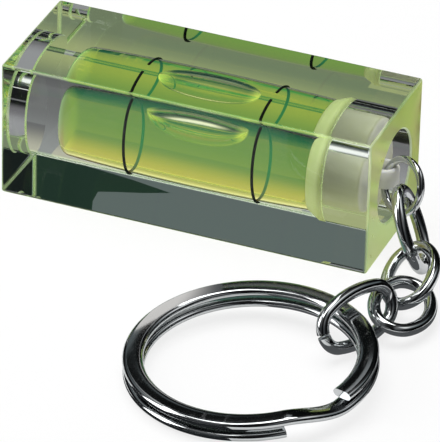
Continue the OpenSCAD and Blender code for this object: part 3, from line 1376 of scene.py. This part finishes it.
@dataclass(frozen=True)
class Card:
    """A studio card that only glass and metal see, in millimetres, whose glow is painted light and shade in
    what they show. Near fades to far from its front.
    """

    name: str
    corners: Sequence[Triple]
    near: Colour
    far: Optional[Colour] = None
    fade: float = 12.0
    mirrored_only: bool = False
    one_sided: bool = False

    def colour(self, kit: NodeKit) -> Union[Colour, Sock]:
        """The card's colour, which may change from its front to its back.


        Returns:
            One colour, or a blend over the fade from the card's front edge.
        """
        if self.far is None:
            return self.near
        front, back = (pick(corner[1] for corner in self.corners) for pick in (min, max))
        full = min(back, front + self.fade)
        return kit.blend(kit.axis("Y").rise(front * MM, full * MM), self.near, self.far)

    def material(self) -> bpy.types.Material:
        """The card's material.

        Returns:
            A glow, clear from behind where the card is one-sided.
        """
        material, kit = new_material(self.name)
        glow = kit.node("ShaderNodeEmission", None, {"Color": self.colour(kit)})
        if self.one_sided:
            behind = kit.node("ShaderNodeNewGeometry", out="Backfacing")
            clear = kit.node("ShaderNodeBsdfTransparent")
            glow = kit.node("ShaderNodeMixShader", None, {0: behind, 1: glow, 2: clear})
        kit.node("ShaderNodeOutputMaterial", None, {"Surface": glow})
        return material

    def build(self) -> None:
        """Set the card up, out of the camera's sight."""
        mesh = bpy.data.meshes.new(self.name)
        corners = [tuple(v * MM for v in corner) for corner in self.corners]
        mesh.from_pydata(corners, [], [range(len(corners))])
        mesh.materials.append(self.material())
        card = add_object(self.name, mesh)
        card.visible_camera = False
        card.visible_diffuse = False
        card.visible_shadow = False
        card.visible_transmission = not self.mirrored_only


@dataclass(frozen=True)
class SoftBox:
    """A soft box that looks at the object, with its sizes in metres."""

    name: str
    place: Triple
    size: Pair
    watts: float
    aim: Triple = (0.008, -0.015, 0.005)

    def build(self) -> None:
        """Set the lamp up, unseen through glass."""
        data = bpy.data.lights.new(self.name, "AREA")
        data.shape = "RECTANGLE"
        data.size, data.size_y = self.size
        data.energy = self.watts
        lamp = add_object(self.name, data)
        lamp.location = self.place
        lamp.visible_transmission = False
        way = Vector(self.aim) - Vector(self.place)
        lamp.rotation_euler = way.to_track_quat("-Z", "Y").to_euler()


@dataclass
class Studio:
    """Floor, room, cards of painted light and shade, lamps and camera. Outlines of cards are in millimetres.
    """

    azimuth: float = 21.0517
    elevation: float = 31.2964
    roll: float = 1.5340
    distance: float = 547.84 * MM
    shift_right: float = 0.96192 * MM
    shift_up: float = -8.74653 * MM
    target_z: float = 7.5 * MM
    focal_px: float = 5378.55
    long_side_px: float = 442.0
    sensor: float = 36.0
    clip: Pair = (0.01, 20.0)
    floor_size: float = 12.0
    floor_gap: float = 0.05 * MM
    floor_paper: Colour = (0.86, 0.86, 0.86)
    floor_white: Colour = (1.0, 1.0, 1.0)
    floor_seen: float = 0.8
    floor_in_metal: float = 0.5
    front_room: Stops = (
        (0.0, (0.03, 0.032, 0.033)),
        (0.5, (0.06, 0.065, 0.07)),
        (1.0, (0.25, 0.25, 0.25)),
    )
    back_room: Stops = (
        (0.0, (0.008, 0.009, 0.009)),
        (0.42, (0.012, 0.013, 0.013)),
        (0.47, (0.115, 0.135, 0.145)),
        (0.58, (0.13, 0.15, 0.155)),
        (0.67, (0.40, 0.41, 0.42)),
        (0.78, (1.0, 1.0, 1.0)),
        (0.88, (0.95, 0.96, 0.98)),
        (0.96, (0.50, 0.51, 0.53)),
        (1.0, (0.25, 0.25, 0.25)),
    )
    back_range: Pair = (-0.15, 0.2)
    room_panels: Stops = (
        (0.0, (0.3, 0.3, 0.3)),
        (0.10, (1.3, 1.3, 1.3)),
        (0.18, (0.15, 0.15, 0.15)),
        (0.25, (0.9, 0.9, 0.9)),
        (0.30, (1.0, 1.0, 1.0)),
        (0.42, (1.0, 1.0, 1.0)),
        (0.50, (0.15, 0.15, 0.15)),
        (0.70, (0.05, 0.05, 0.05)),
        (0.76, (1.4, 1.4, 1.4)),
        (0.86, (1.2, 1.2, 1.2)),
        (0.92, (0.2, 0.2, 0.2)),
        (1.0, (0.3, 0.3, 0.3)),
    )
    # Colours of the cards: painted light and painted shade that glass and metal show.
    black: Colour = (0.004, 0.005, 0.005)
    dim: Colour = (0.022, 0.025, 0.027)
    pale_grey: Colour = (0.31, 0.31, 0.33)
    deep_grey: Colour = (0.16, 0.155, 0.17)
    ledge_grey: Colour = (0.15, 0.16, 0.165)
    block_green: Colour = (0.15, 0.28, 0.23)
    chain_grey: Colour = (0.12, 0.125, 0.13)
    olive: Colour = (0.20, 0.24, 0.155)
    straw: Colour = (0.40, 0.43, 0.21)
    cream: Colour = (0.38, 0.41, 0.21)
    moss: Colour = (0.07, 0.10, 0.06)
    sand: Colour = (0.52, 0.49, 0.42)
    flag_green: Colour = (0.014, 0.030, 0.022)
    glint_light: Colour = (0.8, 0.8, 0.8)
    board_light: Colour = (0.98, 0.94, 0.91)
    # Heights of the cards on the floor, each clear of the next.
    card_z: float = -0.02
    chain_card_z: float = -0.018
    front_card_z: float = -0.016
    vial_card_z: float = -0.008
    ledge_z: float = 7.0
    under_x: Pair = (-20, 20)
    under_y: Triple = (-7.5, 1.5, 7.0)
    plug_x: Pair = (12.0, 18.6)
    vial_x: Pair = (-18.3, 9.5)
    vial_y: Triple = (7.0, 7.7, 13)
    ledge_x: Pair = (-40, 40)
    ledge_y: Pair = (7.6, 9.5)
    back_x: Pair = (-120, 60)
    back_y: Pair = (7.0, 18)
    far_x: Pair = (-400, 300)
    far_y: Pair = (18, 500)
    left_x: Pair = (-160, -20.2)
    left_y: Pair = (-90, 7.0)
    flag_y: float = 30.0
    flag: Sequence[Pair] = (
        (-60, 13.0),
        (-28.3, 14.5),
        (-22, 14.9),
        (-18.3, 15.2),
        (-13.7, 15.8),
        (-17, 16.6),
        (-20, 17.2),
        (-22.2, 17.7),
        (-22.8, 19.0),
        (-23, 21.5),
        (-60, 24.0),
    )
    strip_y: float = 200.0
    strip: Sequence[Pair] = (
        (-97, 90),
        (80, 90),
        (80, 400),
        (-40, 400),
        (-45, 190),
        (-68, 190),
        (-75, 400),
        (-170, 400),
        (-170, 200),
        (-97, 185),
    )
    ring_front: Sequence[Pair] = (
        (-30, -300),
        (19, -300),
        (19, -32),
        (4, -32),
        (4, -37.5),
        (-30, -37.5),
    )
    block_front_x: Pair = (-200, 20.3)
    block_front_y: Pair = (-17, -8)
    chain_floor_x: Pair = (14, 300)
    chain_floor_y: Pair = (-28, -8)
    ceiling_x: Pair = (-115, -8)
    ceiling_y: Pair = (-60, 100)
    ceiling_z: float = 200.0
    glint_y: float = 100.0
    glint: Sequence[Pair] = ((-130, 25), (-65, 25), (-65, 75), (-130, 75))
    board: Sequence[Triple] = ((-9, -8, 4), (5, -11, 4), (5, -11, 19), (-9, -8, 19))
    board_fade: float = 1.35
    lamps: Sequence[SoftBox] = (
        SoftBox("top_box", (-0.10, 0.05, 0.55), (0.55, 0.45), 3.2),
        SoftBox("left_box", (-0.50, -0.25, 0.30), (0.30, 0.45), 1.6),
    )

    def camera(self) -> None:
        """The camera at the photograph's viewing angle."""
        a, e, r = (math.radians(v) for v in (self.azimuth, self.elevation, self.roll))
        back = Vector((math.sin(a) * math.cos(e), -math.cos(a) * math.cos(e), math.sin(e)))
        right = Vector((math.cos(a), math.sin(a), 0.0))
        up = back.cross(right)
        rolled_right = right * math.cos(r) + up * math.sin(r)
        rolled_up = up * math.cos(r) - right * math.sin(r)
        place = back * self.distance + rolled_right * self.shift_right + rolled_up * self.shift_up
        place.z += self.target_z
        data = bpy.data.cameras.new("camera")
        data.sensor_width = self.sensor
        data.lens = self.focal_px * self.sensor / self.long_side_px
        data.clip_start, data.clip_end = self.clip
        holder = add_object("camera", data)
        turn = Matrix((rolled_right, rolled_up, back)).transposed()
        holder.matrix_world = Matrix.Translation(place) @ turn.to_4x4()
        bpy.context.scene.camera = holder

    def floor(self) -> None:
        """The pale floor, white to the eye with a soft shadow."""
        form = bmesh.new()
        bmesh.ops.create_grid(form, x_segments=1, y_segments=1, size=self.floor_size / 2)
        floor = add_object("floor", take_mesh(form, "floor"))
        floor.location.z = -self.floor_gap
        material, kit = new_material("floor_paper")
        camera, glass, metal = (
            kit.node("ShaderNodeLightPath", out=f"Is {ray} Ray")
            for ray in ("Camera", "Transmission", "Glossy")
        )
        seen = camera.larger(glass).larger(metal * self.floor_in_metal)
        paper = kit.node("ShaderNodeBsdfDiffuse", None, {"Color": self.floor_paper})
        white = kit.node("ShaderNodeEmission", None, {"Color": self.floor_white})
        both = kit.node("ShaderNodeMixShader", None, {0: seen * self.floor_seen, 1: paper, 2: white})
        kit.node("ShaderNodeOutputMaterial", None, {"Surface": both})
        floor.data.materials.append(material)

    def world(self) -> None:
        """A dim room with panels, brighter high up behind the object."""
        world = bpy.data.worlds.new("studio")
        world.use_nodes = True
        bpy.context.scene.world = world
        kit = NodeKit(world.node_tree)
        way = kit.node("ShaderNodeTexCoord", out="Generated")
        x, y, z = (kit.part_of(way, axis) for axis in "XYZ")
        # The way's X, from -1 to 1, as a ramp's 0 to 1.
        side = x * 0.5 + 0.5
        front = kit.node("ShaderNodeValToRGB", {"stops": self.front_room}, {"Fac": z})
        back = kit.node("ShaderNodeValToRGB", {"stops": self.back_room}, {"Fac": z})
        panels = kit.node("ShaderNodeValToRGB", {"stops": self.room_panels}, {"Fac": side})
        room = kit.node(
            "ShaderNodeMix",
            {"data_type": "RGBA", "blend_type": "MULTIPLY"},
            {0: 1.0, 6: kit.blend(y.rise(*self.back_range), front, back), 7: panels},
            out=2,
        )
        light = kit.node("ShaderNodeBackground", None, {"Color": room})
        kit.node("ShaderNodeOutputWorld", None, {"Surface": light})

    def painted_level_cards(self) -> List[Card]:
        """Cards under and behind the level, which its block and vial show: painted light and shade on the
        floor there, and painted dark sheets behind.

        Returns:
            The cards.
        """
        front, middle, back = self.under_y
        shade, edge, end = self.vial_y
        ledge = oblong(self.ledge_x, self.ledge_y, self.ledge_z)
        under_front = oblong(self.under_x, (front, middle), self.card_z)
        under_back = oblong(self.under_x, (middle, back), self.card_z)
        under_plug = oblong(self.plug_x, (front, middle), self.vial_card_z)
        vial_shade = oblong(self.vial_x, (shade, edge), self.vial_card_z)
        vial_card = oblong(self.vial_x, (edge, end), self.vial_card_z)
        return [
            # Painted light and shade on the floor behind, beyond and left of the block, lighter near it.
            Card("back_card", oblong(self.back_x, self.back_y, self.card_z), self.pale_grey, self.deep_grey),
            Card("far_card", oblong(self.far_x, self.far_y, self.card_z), self.deep_grey, self.black),
            Card("left_card", oblong(self.left_x, self.left_y, self.card_z), self.deep_grey, self.pale_grey),
            # Painted shade and light on the floor under the block and the plug, tinted by the fluid's light.
            Card("under_front", under_front, self.olive),
            Card("under_back", under_back, self.olive, self.straw),
            Card("plug_card", under_plug, self.cream),
            # Painted shadow under the vial's lower edge, then painted light behind it.
            Card("vial_shade", vial_shade, self.moss),
            Card("vial_card", vial_card, self.sand, self.deep_grey),
            # Painted shade: a dark ledge behind the block and a dark flag further back.
            Card("ledge_card", ledge, self.ledge_grey, self.deep_grey),
            Card("dark_flag", upright_outline(self.flag, self.flag_y), self.flag_green),
        ]

    def painted_reflection_cards(self) -> List[Card]:
        """Cards that only reflections show, in the block's front, the chain and the split ring: painted dark
        and light reflections and a painted glint.

        Returns:
            The cards.
        """
        ring_front = level_outline(self.ring_front, self.front_card_z)
        block_front = oblong(self.block_front_x, self.block_front_y, self.front_card_z)
        chain_floor = oblong(self.chain_floor_x, self.chain_floor_y, self.chain_card_z)
        strip = upright_outline(self.strip, self.strip_y)
        ceiling = oblong(self.ceiling_x, self.ceiling_y, self.ceiling_z)
        glint = upright_outline(self.glint, self.glint_y)
        return [
            # Painted dark reflection of the floor before the ring, painted green light before the block,
            # painted shade under the chain.
            Card("ring_front", ring_front, self.dim, mirrored_only=True),
            Card("block_front", block_front, self.block_green, mirrored_only=True),
            Card("chain_floor", chain_floor, self.chain_grey, mirrored_only=True),
            # Painted dark reflections behind and above, and a painted glint to the left.
            Card("black_strip", strip, self.black, mirrored_only=True),
            Card("ceiling", ceiling, self.dim, mirrored_only=True),
            Card("glint", glint, self.glint_light, mirrored_only=True),
            # A painted light reflection just before the block's front, for the split ring.
            Card(
                "board",
                self.board,
                self.chain_grey,
                self.board_light,
                self.board_fade,
                mirrored_only=True,
                one_sided=True,
            ),
        ]

    def build(self) -> None:
        """Set the stage."""
        bpy.context.scene.view_settings.view_transform = "Standard"
        self.camera()
        self.floor()
        self.world()
        for fitting in (*self.painted_level_cards(), *self.painted_reflection_cards(), *self.lamps):
            fitting.build()


def main() -> None:
    """Build the pieces in order."""
    logging.basicConfig(level=logging.INFO, format="%(name)s: %(message)s")
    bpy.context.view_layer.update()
    Studio().build()
    ClearBlock().build()
    Vial().build()
    EndPlug().build()
    Chain().build()
    KeyRing().build()


if __name__ == "__main__":
    main()
